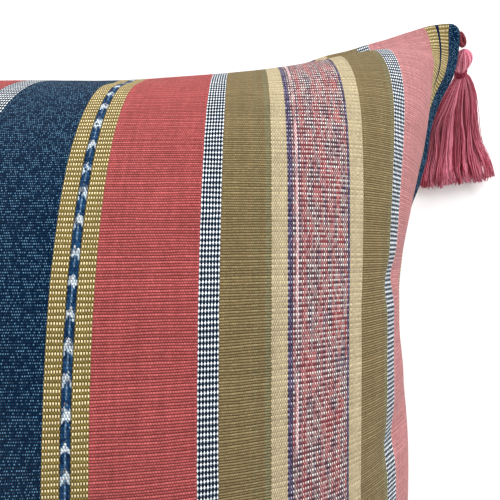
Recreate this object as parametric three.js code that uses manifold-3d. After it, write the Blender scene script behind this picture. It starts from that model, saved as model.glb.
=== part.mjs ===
// Tassel cushion: a square knife-edge cushion of striped cloth with a yarn tassel at each corner.
// Millimetres, +Z up. It lies on its back, with the origin in the middle of the flat underside.
import * as THREE from "three";
import { mergeVertices } from "three/addons/utils/BufferGeometryUtils.js";
import Module from "manifold-3d";

const wasm = await Module();
wasm.setup();

// Driving dimensions of the cushion
const panelSide = 450; // each of the two panels before filling
const cells = 32; // grid cells along a panel's side
const fillHeight = 189; // thickness at which the filling stops pushing
const fillEase = 0.3; // share of that thickness over which the push fades
const fillPush = 1.1e-4; // pressure over the stretch stiffness of a thread
const sag = 0.15; // weight of the filling over its push
const slackThread = 0.4; // stiffness of a thread in compression over that in tension
const biasThread = 0.02; // stiffness across the bias over that along a thread
const clothBend = 1.0; // bending stiffness of the cloth, times the square of a cell
const settleSteps = 2400;
const startSide = 0.93; // of the drawn-in square before it settles, over the panel's side
const startMiddle = 0.18; // height of its middle over the panel's side
const startLift = 0.12; // rise of each panel from there
const stepTime = 0.45;
const damping = 0.985;

// Soft troughs and bulges of the cloth: place on the front panel, turn from the side seam's
// direction, half length and half width, movement in x, y and z, the panels that move (0 is
// the front), and the distance from the seam within which they hold still
const clothMoves = [
  { across: 176, along: 82, turn: 62, length: 22, width: 7, shift: [-1.6, 0, -1.6], panels: [0], hold: 25 },
  { across: 200, along: 70, turn: 0, length: 26, width: 16, shift: [-3.4, 0, -1.5], panels: [0], hold: 25 },
  { across: 176, along: 15, turn: 60, length: 20, width: 8, shift: [-1.4, 0, -1.2], panels: [0], hold: 25 },
  { across: 190, along: -12, turn: 0, length: 46, width: 20, shift: [2.8, 0, 1.2], panels: [0], hold: 25 },
  { across: 204, along: 190, turn: 0, length: 26, width: 12, shift: [-2.9, 0, -1.2], panels: [0], hold: 10 },
  { across: 217, along: 160, turn: 0, length: 58, width: 7, shift: [-3.4, 0, -1.2], panels: [0], hold: 4 },
  { across: 206, along: 214, turn: 0, length: 12, width: 12, shift: [2.6, 0, 0], panels: [0], hold: 4 },
  { across: 225, along: 195, turn: 0, length: 13, width: 20, shift: [2.2, 0, 0], panels: [0, 1], hold: 0 },
  { across: 225, along: 138, turn: 0, length: 26, width: 16, shift: [5.8, 0, 0], panels: [0, 1], hold: 0 },
  { across: 225, along: 222, turn: 0, length: 14, width: 20, shift: [1.2, 0, 0], panels: [0, 1], hold: 0 },
  { across: 112, along: 225, turn: 90, length: 64, width: 20, shift: [0, 3.2, 0], panels: [0, 1], hold: 0 },
  { across: 152, along: 225, turn: 90, length: 22, width: 20, shift: [0, 1.6, 0], panels: [0, 1], hold: 0 },
  { across: 198, along: 225, turn: 90, length: 20, width: 20, shift: [0, -1.2, 0], panels: [0, 1], hold: 0 },
  { across: 130, along: 217, turn: 90, length: 90, width: 7, shift: [0, 3.6, 1.5], panels: [1], hold: 4 },
  { across: 120, along: 214, turn: 90, length: 84, width: 10, shift: [0, -4.4, -2.6], panels: [0], hold: 4 },
  { across: 196, along: 207, turn: 90, length: 26, width: 10, shift: [0, -3.2, -2.4], panels: [0], hold: 4 },
  { across: 40, along: 186, turn: 98, length: 26, width: 12, shift: [0, -1.2, -1.2], panels: [0], hold: 25 },
  { across: -150, along: 172, turn: 40, length: 30, width: 11, shift: [1, -3, -3], panels: [0], hold: 25 },
  { across: -184, along: -30, turn: 70, length: 32, width: 10, shift: [4, 0, -3], panels: [0], hold: 25 },
  { across: -60, along: -184, turn: 14, length: 30, width: 11, shift: [0, 4, -3], panels: [0], hold: 25 },
  { across: 96, along: -180, turn: -30, length: 28, width: 10, shift: [0, 3.5, -3], panels: [0], hold: 25 },
];

// Driving dimensions of a tassel, hung from the cushion's corner
const partGap = 0.3; // between pieces that touch
const loopRope = 2.2; // thickness of the hanging loop's cord
const loopLength = 8.4;
const loopWidth = 5.8;
const loopTaper = 0.3; // how much narrower the loop is at the corner
const headLength = 14.5;
const headWidth = 10.8;
const headFullness = 0.8; // under 1 fills the shoulders out
const neckWidth = 7;
const waistWidth = 4.8; // of the neck under its binding
const neckLength = 3.4;
const bindingRope = 1.2;
const rootLength = 6; // where the yarns are still one bundle
const rootShare = 0.85; // of the skirt's width that the bundle fills
const lockSides = 4;
const lockSteps = 6;
const rootThickness = 1.3; // a lock of yarn where it leaves the bundle
const endThickness = 2.1; // and at its cut end
const skirtHalfHeight = 6.8;
const settle = 0.9; // of that height stays above the floor's lowest locks
const flatten = 1.6; // how soon the skirt comes to its height, over its length
const unevenCut = 0.06; // of a lock's length
const lockRings = [
  { share: 1.0, locks: 12, shift: 0.5 },
  { share: 0.56, locks: 7, shift: 0.25 },
  { share: 0.13, locks: 2, shift: 0 },
];

// Half width of the skirt and its middle's place beside the tassel's line, over the skirt's length
const skirtShape = [
  { share: 0, half: 2.3, aside: -0.4 },
  { share: 0.08, half: 9.6, aside: -2 },
  { share: 0.24, half: 15.8, aside: -2.4 },
  { share: 0.45, half: 18.6, aside: -1.4 },
  { share: 0.63, half: 20.2, aside: -0.4 },
  { share: 0.77, half: 22.4, aside: 0 },
  { share: 0.86, half: 25.2, aside: 0 },
  { share: 1, half: 27, aside: 0 },
];

// Middle line of a tassel from the corner's tip: right of the corner, down the cushion's side,
// and the share of the fall to where the skirt lies on the floor
const tasselLine = [
  { right: 1.3, down: 5.4, fall: 0.003 },
  { right: 5.8, down: 11.2, fall: 0.063 },
  { right: 9, down: 15.2, fall: 0.15 },
  { right: 12.2, down: 20.4, fall: 0.292 },
  { right: 19.8, down: 29.2, fall: 0.568 },
  { right: 25.4, down: 39.4, fall: 0.782 },
  { right: 29.6, down: 51.3, fall: 0.916 },
  { right: 33.6, down: 68, fall: 0.987 },
  { right: 35.6, down: 81.5, fall: 1 },
];

// The four corners: the quarter turn that carries the first tassel there, its yaw, and how much
// closer to the cushion it hangs
const corners = [
  { name: "top_right", quarter: 0, yaw: 0, closer: 0 },
  { name: "bottom_right", quarter: 3, yaw: 5, closer: 1.6 },
  { name: "bottom_left", quarter: 2, yaw: -4, closer: 0.5 },
  { name: "top_left", quarter: 1, yaw: 7, closer: 1.85 },
];

function material(color, roughness) {
  return new THREE.MeshStandardMaterial({ color, roughness, metalness: 0 });
}
const cloth = material(0xb8604f, 0.9);
const yarn = material(0xc2566f, 0.95);
const loopYarn = material(0x82323a, 0.9);
const bindingYarn = material(0x78102f, 0.9);

// Two square panels of threads sewn together round their edges, filled and laid on a floor.
// Threads resist stretching, hardly shear, and the filling pushes the panels apart.
function settledPanels() {
  const nodes = cells + 1;
  const perPanel = nodes * nodes;
  const pitch = panelSide / cells;
  const at = (panel, i, j) => panel * perPanel + i * nodes + j;
  const x = new Float64Array(6 * perPanel);
  const v = new Float64Array(6 * perPanel);
  const f = new Float64Array(6 * perPanel);
  for (let i = 0; i < nodes; i++)
    for (let j = 0; j < nodes; j++) {
      const a = (2 * i) / cells - 1;
      const b = (2 * j) / cells - 1;
      const lift = startLift * panelSide * Math.sqrt(Math.max(0, (1 - a * a) * (1 - b * b)));
      for (let panel = 0; panel < 2; panel++) {
        const k = 3 * at(panel, i, j);
        x[k] = (startSide / 2) * panelSide * a;
        x[k + 1] = (startSide / 2) * panelSide * b;
        x[k + 2] = startMiddle * panelSide + (panel ? -lift : lift);
      }
    }
  const links = threadLinks(nodes, pitch, at);
  const rows = bendRows(nodes, at);
  const bend = clothBend / (pitch * pitch);
  for (let step = 0; step < settleSteps; step++) {
    f.fill(0);
    for (const link of links) pull(x, f, link);
    for (const [a, b, c] of rows) stiffen(x, f, a, b, c, bend);
    for (let panel = 0; panel < 2; panel++) push(x, f, nodes, at, panel);
    move(x, v, f, nodes, at, pitch);
  }
  return { x, nodes, at };
}

// Springs along the threads both ways, and weak ones across the bias
function threadLinks(nodes, pitch, at) {
  const links = [];
  const add = (a, b, rest, tension, slack) => links.push({ a: 3 * a, b: 3 * b, rest, tension, slack });
  for (let panel = 0; panel < 2; panel++)
    for (let i = 0; i < nodes; i++)
      for (let j = 0; j < nodes; j++) {
        if (i < cells) add(at(panel, i, j), at(panel, i + 1, j), pitch, 1, slackThread);
        if (j < cells) add(at(panel, i, j), at(panel, i, j + 1), pitch, 1, slackThread);
        if (i === cells || j === cells) continue;
        const bias = pitch * Math.SQRT2;
        add(at(panel, i, j), at(panel, i + 1, j + 1), bias, biasThread, biasThread / 2);
        add(at(panel, i + 1, j), at(panel, i, j + 1), bias, biasThread, biasThread / 2);
      }
  return links;
}

// Each three neighbours along a thread
function bendRows(nodes, at) {
  const rows = [];
  for (let panel = 0; panel < 2; panel++)
    for (let i = 0; i < nodes; i++)
      for (let j = 1; j < cells; j++) {
        rows.push([at(panel, i, j - 1), at(panel, i, j), at(panel, i, j + 1)]);
        rows.push([at(panel, j - 1, i), at(panel, j, i), at(panel, j + 1, i)]);
      }
  return rows;
}

// A thread pulls its ends together when stretched, and pushes less when slack
function pull(x, f, { a, b, rest, tension, slack }) {
  const dx = x[b] - x[a];
  const dy = x[b + 1] - x[a + 1];
  const dz = x[b + 2] - x[a + 2];
  const length = Math.sqrt(dx * dx + dy * dy + dz * dz);
  const share = ((length > rest ? tension : slack) * (length - rest)) / length;
  f[a] += dx * share;
  f[a + 1] += dy * share;
  f[a + 2] += dz * share;
  f[b] -= dx * share;
  f[b + 1] -= dy * share;
  f[b + 2] -= dz * share;
}

// A bent thread pulls its middle point towards the line between its neighbours
function stiffen(x, f, a, b, c, bend) {
  for (let axis = 0; axis < 3; axis++) {
    const kink = bend * (x[3 * a + axis] + x[3 * c + axis] - 2 * x[3 * b + axis]);
    f[3 * b + axis] += 2 * kink;
    f[3 * a + axis] -= kink;
    f[3 * c + axis] -= kink;
  }
}

function cellRing(at, panel, i, j) {
  return [at(panel, i, j), at(panel, i + 1, j), at(panel, i + 1, j + 1), at(panel, i, j + 1)];
}

// The filling pushes on each cell, less where the cushion is already as thick as the filling
function push(x, f, nodes, at, panel) {
  const outward = panel ? -1 : 1;
  for (let i = 0; i < cells; i++)
    for (let j = 0; j < cells; j++) {
      const ring = cellRing(at, panel, i, j);
      let room = 0;
      for (const n of ring) {
        const other = panel ? n - nodes * nodes : n + nodes * nodes;
        const thick = outward * (x[3 * n + 2] - x[3 * other + 2]);
        room += THREE.MathUtils.clamp((fillHeight - thick) / (fillEase * fillHeight), 0, 1) / 4;
      }
      const [p, q, r, s] = ring.map((n) => 3 * n);
      const ax = x[r] - x[p];
      const ay = x[r + 1] - x[p + 1];
      const az = x[r + 2] - x[p + 2];
      const bx = x[s] - x[q];
      const by = x[s + 1] - x[q + 1];
      const bz = x[s + 2] - x[q + 2];
      const size = (outward * fillPush * room) / 8;
      for (const n of [p, q, r, s]) {
        f[n] += size * (ay * bz - az * by);
        f[n + 1] += size * (az * bx - ax * bz);
        f[n + 2] += size * (ax * by - ay * bx);
      }
    }
}

// One step of damped motion. The seam's points belong to both panels, and the floor stops the rest.
function move(x, v, f, nodes, at, pitch) {
  const weight = sag * fillPush * pitch * pitch;
  for (let i = 0; i < nodes; i++)
    for (let j = 0; j < nodes; j++) {
      const front = 3 * at(0, i, j);
      const back = 3 * at(1, i, j);
      f[back + 2] -= weight;
      if (i > 0 && i < cells && j > 0 && j < cells) continue;
      for (let axis = 0; axis < 3; axis++) {
        const shared = (f[front + axis] + f[back + axis]) / 2;
        f[front + axis] = shared;
        f[back + axis] = shared;
      }
    }
  for (let k = 0; k < x.length; k++) {
    v[k] = damping * v[k] + f[k] * stepTime;
    x[k] += v[k] * stepTime;
    if (k % 3 === 2 && x[k] < 0) {
      x[k] = 0;
      v[k] /= 2;
    }
  }
}

// Presses the troughs and bulges into the panels, but never into the floor
function moveCloth({ x, at, nodes }) {
  const half = panelSide / 2;
  for (let i = 0; i < nodes; i++)
    for (let j = 0; j < nodes; j++) {
      const across = (i / cells - 0.5) * panelSide;
      const along = (j / cells - 0.5) * panelSide;
      const inset = half - Math.max(Math.abs(across), Math.abs(along));
      for (const row of clothMoves) {
        const turn = THREE.MathUtils.degToRad(row.turn);
        const p = across - row.across;
        const q = along - row.along;
        const down = (p * Math.sin(turn) + q * Math.cos(turn)) / row.length;
        const aside = (p * Math.cos(turn) - q * Math.sin(turn)) / row.width;
        const held = row.hold ? Math.min(1, inset / row.hold) : 1;
        const depth = held * Math.exp(-down * down - aside * aside);
        for (const panel of row.panels)
          for (let axis = 0; axis < 3; axis++) x[3 * at(panel, i, j) + axis] += depth * row.shift[axis];
      }
      const height = 3 * at(1, i, j) + 2;
      x[height] = Math.max(0, x[height]);
    }
}

// One closed skin: both panels' cells, cut along the diagonal that follows the crown
function cushionGeometry({ x, at }) {
  const faces = [];
  const corner = (n) => faces.push(x[3 * n], x[3 * n + 1], x[3 * n + 2]);
  for (let i = 0; i < cells; i++)
    for (let j = 0; j < cells; j++)
      for (let panel = 0; panel < 2; panel++) {
        const [a, b, c, d] = cellRing(at, panel, i, j);
        const towardsMiddle = (i < cells / 2) === (j < cells / 2);
        const split = towardsMiddle ? [a, b, c, a, c, d] : [a, b, d, b, c, d];
        if (panel) split.reverse();
        split.forEach(corner);
      }
  const geometry = new THREE.BufferGeometry();
  geometry.setAttribute("position", new THREE.Float32BufferAttribute(faces, 3));
  return mergeVertices(geometry, 1e-3);
}

// A geometry's corners merged into one closed solid
function solidOf(geometry) {
  const bare = geometry.index ? geometry.toNonIndexed() : geometry.clone();
  bare.deleteAttribute("normal");
  bare.deleteAttribute("uv");
  const merged = mergeVertices(bare, 1e-3);
  const vertProperties = merged.attributes.position.array;
  const triVerts = new Uint32Array(merged.index.array);
  return new wasm.Manifold(new wasm.Mesh({ numProp: 3, vertProperties, triVerts }));
}

function geometryOf(solid) {
  const { vertProperties, triVerts } = solid.getMesh();
  const geometry = new THREE.BufferGeometry();
  geometry.setAttribute("position", new THREE.BufferAttribute(vertProperties, 3));
  geometry.setIndex(new THREE.BufferAttribute(triVerts, 1));
  return geometry;
}

// Middle line of the first tassel in space, from the tip of the top right corner
function tasselCurve(tip) {
  const rest = settle * skirtHalfHeight + endThickness / 2;
  const places = tasselLine.map(({ right, down, fall }) => {
    const height = THREE.MathUtils.lerp(tip.z, rest, fall);
    return new THREE.Vector3(tip.x + right, tip.y - down, height);
  });
  return new THREE.CatmullRomCurve3(places);
}

// Directions at a length along the curve: forward, level sideways, and across both
function frameAt(curve, length) {
  const share = Math.min(1, length / curve.getLength());
  const forward = curve.getTangentAt(share);
  const side = new THREE.Vector3(0, 0, 1).cross(forward).normalize();
  return { point: curve.getPointAt(share), forward, side, up: forward.clone().cross(side) };
}

const headStart = partGap + loopLength + partGap;
const neckStart = headStart + headLength;
const skirtStart = neckStart + neckLength;

// The head and neck stand on one straight axis between the loop and the skirt
function headFrame(curve) {
  const { point } = frameAt(curve, headStart);
  const forward = frameAt(curve, skirtStart).point.sub(point).normalize();
  return { point, forward };
}

// A lathe profile of radius and length, laid along a frame's direction
function turned(profile, sides, { point, forward }) {
  const geometry = new THREE.LatheGeometry(profile.map(([r, y]) => new THREE.Vector2(r, y)), sides);
  geometry.applyQuaternion(new THREE.Quaternion().setFromUnitVectors(new THREE.Vector3(0, 1, 0), forward));
  return geometry.translate(point.x, point.y, point.z);
}

// Teardrop ring of cord between the cushion's corner and the head, narrow end at the corner
function loopGeometry(curve) {
  const { point, forward, side } = frameAt(curve, partGap + loopRope / 2);
  const halfLength = (loopLength - loopRope) / 2;
  const halfWidth = (loopWidth - loopRope) / 2;
  const points = 8;
  const ring = Array.from({ length: points }, (_, k) => {
    const turn = (2 * Math.PI * k) / points;
    const reach = halfWidth * (1 - loopTaper * Math.cos(turn)) * Math.sin(turn);
    return point
      .clone()
      .addScaledVector(forward, halfLength * (1 - Math.cos(turn)))
      .addScaledVector(side, reach);
  });
  return closedRope(ring, loopRope, 5);
}

// A rope whose ends meet: rings of points round a closed row of middles
function closedRope(middles, thickness, sides) {
  const closed = new THREE.CatmullRomCurve3(middles, true);
  const steps = 2 * middles.length;
  const frames = closed.computeFrenetFrames(steps, true);
  const faces = [];
  const place = (i, k) => {
    const turn = (2 * Math.PI * k) / sides;
    return closed
      .getPointAt((i % steps) / steps)
      .addScaledVector(frames.normals[i % steps], (thickness / 2) * Math.cos(turn))
      .addScaledVector(frames.binormals[i % steps], (thickness / 2) * Math.sin(turn));
  };
  for (let i = 0; i < steps; i++)
    for (let k = 0; k < sides; k++) {
      const [a, b, c, d] = [place(i, k), place(i, k + 1), place(i + 1, k + 1), place(i + 1, k)];
      for (const p of [a, b, c, a, c, d]) faces.push(p.x, p.y, p.z);
    }
  const geometry = new THREE.BufferGeometry();
  geometry.setAttribute("position", new THREE.Float32BufferAttribute(faces, 3));
  return geometry;
}

// Round head and its neck, narrow where the binding lies
function headGeometry(curve) {
  const rings = 6;
  const profile = [[0, 0]];
  for (let k = 1; k < rings; k++) {
    const turn = (Math.PI * k) / rings;
    const round = (headWidth / 2) * Math.pow(Math.sin(turn), headFullness);
    const radius = k + 1 < rings ? round : Math.max(round, neckWidth / 2);
    profile.push([radius, (headLength / 2) * (1 - Math.cos(turn))]);
  }
  const neckEnd = headLength + neckLength;
  profile.push([waistWidth / 2, headLength + 0.5], [waistWidth / 2, neckEnd - 0.4]);
  profile.push([neckWidth / 2, neckEnd + 0.3], [0, neckEnd + 1]);
  return turned(profile, 12, headFrame(curve));
}

// A column of the skirt's shape at a share of its length
function skirtAt(column, share) {
  const next = Math.max(1, skirtShape.findIndex((row) => row.share >= Math.min(1, share)));
  const [a, b] = [skirtShape[next - 1], skirtShape[next]];
  return THREE.MathUtils.mapLinear(Math.min(1, share), a.share, b.share, a[column], b[column]);
}

// Share of the skirt's length, counted from the middle of the neck
function skirtShare(curve, length) {
  const middle = neckStart + neckLength / 2;
  return (length - middle) / (curve.getLength() - middle);
}

// The bundle of roots widens from the neck with the skirt, and the locks leave its end
function rootsGeometry(curve) {
  const radius = (run) => rootShare * skirtAt("half", skirtShare(curve, skirtStart + run));
  const profile = [
    [0, -0.4],
    [waistWidth / 2, -0.4],
    [neckWidth / 2, 0.4],
    [radius(rootLength / 2), rootLength / 2],
    [radius(rootLength), rootLength],
    [0, rootLength],
  ];
  return turned(profile, 12, frameAt(curve, skirtStart));
}

// A ring of thread in the neck's waist
function bindingGeometry(curve) {
  const middle = waistWidth / 2 + partGap + bindingRope / 2;
  const sides = 6;
  const profile = Array.from({ length: sides + 1 }, (_, k) => {
    const turn = (2 * Math.PI * (k % sides)) / sides;
    const along = headLength + neckLength / 2 + (bindingRope / 2) * Math.sin(turn);
    return [middle + (bindingRope / 2) * Math.cos(turn), along];
  });
  return turned(profile, 12, headFrame(curve));
}

// One lock of yarn: its middle runs beside the tassel's line and spreads to the skirt's width.
// It never sinks below the floor, and lies level on it.
function lockGeometry(curve, ring, index) {
  const turn = (2 * Math.PI * (index + ring.shift)) / ring.locks;
  const cut = 1 - unevenCut * Math.abs(Math.sin(5 * turn + 9 * ring.share));
  const start = skirtStart + rootLength / 4;
  const end = curve.getLength() * cut;
  const narrow = skirtAt("half", 0);
  const rows = [];
  for (let k = 0; k <= lockSteps; k++) {
    const length = THREE.MathUtils.lerp(start, end, k / lockSteps);
    const share = skirtShare(curve, length);
    const half = THREE.MathUtils.lerp(rootThickness, endThickness, k / lockSteps) / 2;
    const wide = skirtAt("half", share) - half;
    const high = THREE.MathUtils.lerp(narrow, skirtHalfHeight, Math.min(1, flatten * share));
    const { point, side, up } = frameAt(curve, length);
    const middle = point
      .addScaledVector(side, wide * ring.share * Math.cos(turn) + skirtAt("aside", share))
      .addScaledVector(up, high * ring.share * Math.sin(turn));
    middle.z = Math.max(middle.z, half);
    rows.push({ middle, half });
  }
  return sweptLock(rows);
}

// A four-sided lock with a square section on each row's middle
function sweptLock(rows) {
  const rings = rows.map(({ middle, half }, k) => {
    const before = rows[Math.max(0, k - 1)].middle;
    const after = rows[Math.min(rows.length - 1, k + 1)].middle;
    const forward = after.clone().sub(before).normalize();
    const side = new THREE.Vector3(0, 0, 1).cross(forward).normalize();
    const up = forward.clone().cross(side);
    return Array.from({ length: lockSides }, (_, s) => {
      const turn = (2 * Math.PI * (s + 0.5)) / lockSides;
      return middle
        .clone()
        .addScaledVector(side, half * Math.SQRT2 * Math.cos(turn))
        .addScaledVector(up, half * Math.SQRT2 * Math.sin(turn));
    });
  });
  const faces = [];
  const face = (...points) => points.forEach((p) => faces.push(p.x, p.y, p.z));
  for (let k = 0; k + 1 < rings.length; k++)
    for (let s = 0; s < lockSides; s++) {
      const next = (s + 1) % lockSides;
      face(rings[k][s], rings[k + 1][next], rings[k + 1][s]);
      face(rings[k][s], rings[k][next], rings[k + 1][next]);
    }
  const first = rings[0];
  const last = rings[rings.length - 1];
  for (let s = 1; s + 1 < lockSides; s++) {
    face(first[0], first[s + 1], first[s]);
    face(last[0], last[s], last[s + 1]);
  }
  const geometry = new THREE.BufferGeometry();
  geometry.setAttribute("position", new THREE.Float32BufferAttribute(faces, 3));
  return geometry;
}

function tasselSolid(curve) {
  let solid = solidOf(headGeometry(curve)).add(solidOf(rootsGeometry(curve)));
  for (const ring of lockRings)
    for (let index = 0; index < ring.locks; index++)
      solid = solid.add(solidOf(lockGeometry(curve, ring, index)));
  return solid;
}

function buildCushion() {
  const panels = settledPanels();
  const tip = new THREE.Vector3().fromArray(panels.x, 3 * panels.at(0, cells, cells));
  moveCloth(panels);
  const group = new THREE.Group();
  group.name = "tassel_cushion";
  const add = (name, geometry, finish, parent) => {
    const mesh = new THREE.Mesh(geometry, finish);
    mesh.name = name;
    parent.add(mesh);
  };
  add("cushion", cushionGeometry(panels), cloth, group);
  const curve = tasselCurve(tip);
  const tasselGeometry = geometryOf(tasselSolid(curve));
  for (const { name, quarter, yaw, closer } of corners) {
    const swing = new THREE.Group();
    swing.position.set(tip.x - closer, tip.y, 0);
    swing.rotation.z = THREE.MathUtils.degToRad(yaw);
    const centred = new THREE.Group();
    centred.position.set(-tip.x, -tip.y, 0);
    swing.add(centred);
    const placed = new THREE.Group();
    placed.rotation.z = (quarter * Math.PI) / 2;
    placed.add(swing);
    group.add(placed);
    add("loop_" + name, loopGeometry(curve), loopYarn, centred);
    add("tassel_" + name, tasselGeometry, yarn, centred);
    add("binding_" + name, bindingGeometry(curve), bindingYarn, centred);
  }
  return group;
}

export default buildCushion();
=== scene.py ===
import math

import bmesh
import bpy
import numpy as np
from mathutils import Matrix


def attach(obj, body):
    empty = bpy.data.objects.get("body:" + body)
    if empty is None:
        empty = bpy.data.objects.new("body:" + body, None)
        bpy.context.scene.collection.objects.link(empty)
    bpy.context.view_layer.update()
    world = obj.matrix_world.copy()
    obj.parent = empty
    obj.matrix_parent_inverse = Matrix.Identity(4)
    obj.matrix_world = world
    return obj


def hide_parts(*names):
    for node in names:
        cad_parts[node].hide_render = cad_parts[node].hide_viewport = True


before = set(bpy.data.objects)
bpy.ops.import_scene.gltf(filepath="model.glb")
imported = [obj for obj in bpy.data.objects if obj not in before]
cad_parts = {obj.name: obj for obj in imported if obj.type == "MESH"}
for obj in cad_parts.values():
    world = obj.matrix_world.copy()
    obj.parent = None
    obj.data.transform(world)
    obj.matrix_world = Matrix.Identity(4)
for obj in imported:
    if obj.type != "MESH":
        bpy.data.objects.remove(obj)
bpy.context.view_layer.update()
scene = bpy.context.scene
scene.view_settings.view_transform = "Standard"
mm = 0.001

cameraView = {
    "place": (0.1049, 0.0943, 0.2723),
    "turnDegrees": (-0.971, 1.213, -0.225),  # looks almost straight down on the front face
    "lens": 25.2,
    "sensor": 36.0,
    "nearest": 0.01,
}


def makeCamera(view):
    data = bpy.data.cameras.new("photoCamera")
    data.lens = view["lens"]
    data.sensor_width = view["sensor"]
    data.clip_start = view["nearest"]
    camera = bpy.data.objects.new("photoCamera", data)
    camera.location = view["place"]
    camera.rotation_euler = [math.radians(angle) for angle in view["turnDegrees"]]
    scene.collection.objects.link(camera)
    scene.camera = camera
    print("camera placed")


makeCamera(cameraView)


def addPiece(name, points, faces, uvs, tones=None):
    # points in mm, faces as lists of point numbers, uvs and tones one per point
    mesh = bpy.data.meshes.new(name)
    mesh.from_pydata((points * mm).tolist(), [], faces)
    corners = np.empty(len(mesh.loops), dtype=np.int64)
    mesh.loops.foreach_get("vertex_index", corners)
    layer = mesh.uv_layers.new(name="cloth")
    layer.data.foreach_set("uv", uvs[corners].astype(np.float32).ravel())
    if tones is not None:
        layer = mesh.attributes.new("tone", "FLOAT", "POINT")
        layer.data.foreach_set("value", tones.astype(np.float32))
    mesh.polygons.foreach_set("use_smooth", np.ones(len(mesh.polygons), bool))
    mesh.validate()
    piece = bpy.data.objects.new(name, mesh)
    scene.collection.objects.link(piece)
    return piece


def gridQuads(rows, columns, closedRows=False, closedColumns=False):
    # quads of a grid whose points are numbered row by row, wrapped where it is closed
    r = np.arange(rows if closedRows else rows - 1)[:, None]
    c = np.arange(columns if closedColumns else columns - 1)[None, :]
    nextR, nextC = (r + 1) % rows, (c + 1) % columns
    quads = [r * columns + c, r * columns + nextC, nextR * columns + nextC, nextR * columns + c]
    return np.stack(quads, -1).reshape(-1, 4)


def unit(vectors):
    return vectors / np.maximum(np.linalg.norm(vectors, axis=-1, keepdims=True), 1e-12)


def blendMatrix(places, count):
    # weights that read a row of numbered values at fractional places, by cubic interpolation
    base = np.clip(np.floor(places).astype(int), 0, count - 2)
    t = places - base
    weights = np.stack([
        -0.5 * t + t * t - 0.5 * t ** 3,
        1 - 2.5 * t * t + 1.5 * t ** 3,
        0.5 * t + 2 * t * t - 1.5 * t ** 3,
        -0.5 * t * t + 0.5 * t ** 3,
    ], -1)
    matrix = np.zeros((len(places), count))
    rows = np.arange(len(places))
    for k in range(4):
        at, share = base + k - 1, weights[:, k]
        inside = (at >= 0) & (at < count)
        matrix[rows[inside], at[inside]] += share[inside]
        # beyond an end the row goes on straight: 2 * end - next
        for out, end, beside in ((at < 0, 0, 1), (at >= count, count - 1, count - 2)):
            matrix[rows[out], end] += 2 * share[out]
            matrix[rows[out], beside] -= share[out]
    return matrix


# the filled cushion, in mm where a size is meant
cushionForm = {
    "side": 450.0,  # each panel, seam to seam, before filling
    "cells": (32, 64, 128),  # of the grids that are settled in turn
    "steps": (2400, 700, 260),
    "startHalf": 0.465,  # the low dome that the panels start from, as shares of the side
    "startHeight": 0.18,
    "startDome": 0.12,
    "fillHeight": 189.0,  # thickness at which the filling stops pushing
    "fillEase": 0.3,  # share of it over which the push dies away
    "fillPush": 1.1e-4,  # pressure over the stretch stiffness of a thread
    "sag": 0.15,  # weight of the back panel over the filling's push
    "slackThread": 0.4,
    "biasThread": 0.02,
    "clothBend": 1.0,
    "stepTime": 0.45,
    "damping": 0.985,
    "floorDamping": 0.5,
    "cornerRound": 6.0,  # radius of the seam's turn at a corner
    "lipHeight": (0.75, 1.5),  # the turned cloth beside the seam stands this proud, front, back
    "lipAt": (1.3, 2.4),
    "grooveDepth": 0.9,
    "rippleHeight": 0.32,
    "rippleLengths": (2.9, 4.7),
    "rippleDrift": 17,
    "rippleRise": 3,  # the ripples are full this far from the seam, then fade over the next
    "rippleFade": 9,
    "insets": (0.0, 0.45, 1.0, 1.8, 2.9, 4.4, 6.3, 8.6),
    "spacing": 2.75,
}
outward = np.array([1.0, -1.0])[:, None, None, None]  # up for the front panel, down for the back

# soft troughs and bulges: place on the front panel, turn in degrees from the side seam's
# direction, half sizes and move in mm, the panels that move (0 is the front), and mm from the
# seam within which they hold still
moveColumns = ("across", "along", "turn", "length", "width", "move", "panels", "hold")
clothMoves = [dict(zip(moveColumns, row)) for row in (
    (176, 82, 62, 22, 7, (-1.6, 0, -1.6), (0,), 25),
    (200, 70, 0, 26, 16, (-3.4, 0, -1.5), (0,), 25),
    (176, 15, 60, 20, 8, (-1.4, 0, -1.2), (0,), 25),
    (190, -12, 0, 46, 20, (2.8, 0, 1.2), (0,), 25),
    (204, 190, 0, 26, 12, (-2.9, 0, -1.2), (0,), 10),
    (217, 160, 0, 58, 7, (-3.4, 0, -1.2), (0,), 4),
    (206, 214, 0, 12, 12, (2.6, 0, 0), (0,), 4),
    (225, 195, 0, 13, 20, (2.2, 0, 0), (0, 1), 0),
    (225, 138, 0, 26, 16, (5.8, 0, 0), (0, 1), 0),
    (225, 222, 0, 14, 20, (1.2, 0, 0), (0, 1), 0),
    (112, 225, 90, 64, 20, (0, 3.2, 0), (0, 1), 0),
    (152, 225, 90, 22, 20, (0, 1.6, 0), (0, 1), 0),
    (198, 225, 90, 20, 20, (0, -1.2, 0), (0, 1), 0),
    (130, 217, 90, 90, 7, (0, 3.6, 1.5), (1,), 4),
    (120, 214, 90, 84, 10, (0, -4.4, -2.6), (0,), 4),
    (196, 207, 90, 26, 10, (0, -3.2, -2.4), (0,), 4),
    (40, 186, 98, 26, 12, (0, -1.2, -1.2), (0,), 25),
    (-150, 172, 40, 30, 11, (1, -3, -3), (0,), 25),
    (-184, -30, 70, 32, 10, (4, 0, -3), (0,), 25),
    (-60, -184, 14, 30, 11, (0, 4, -3), (0,), 25),
    (96, -180, -30, 28, 10, (0, 3.5, -3), (0,), 25),
)]


def pullThreads(x, force, lo, hi, rest, tension, slack):
    # each thread pulls its ends together when stretched, and pushes less when slack
    gap = x[hi] - x[lo]
    length = np.sqrt(np.einsum("...k,...k->...", gap, gap))[..., None]
    stiffness = np.where(length > rest, tension, slack)
    share = gap * (stiffness * (length - rest) / length)
    force[lo] += share
    force[hi] -= share


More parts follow.
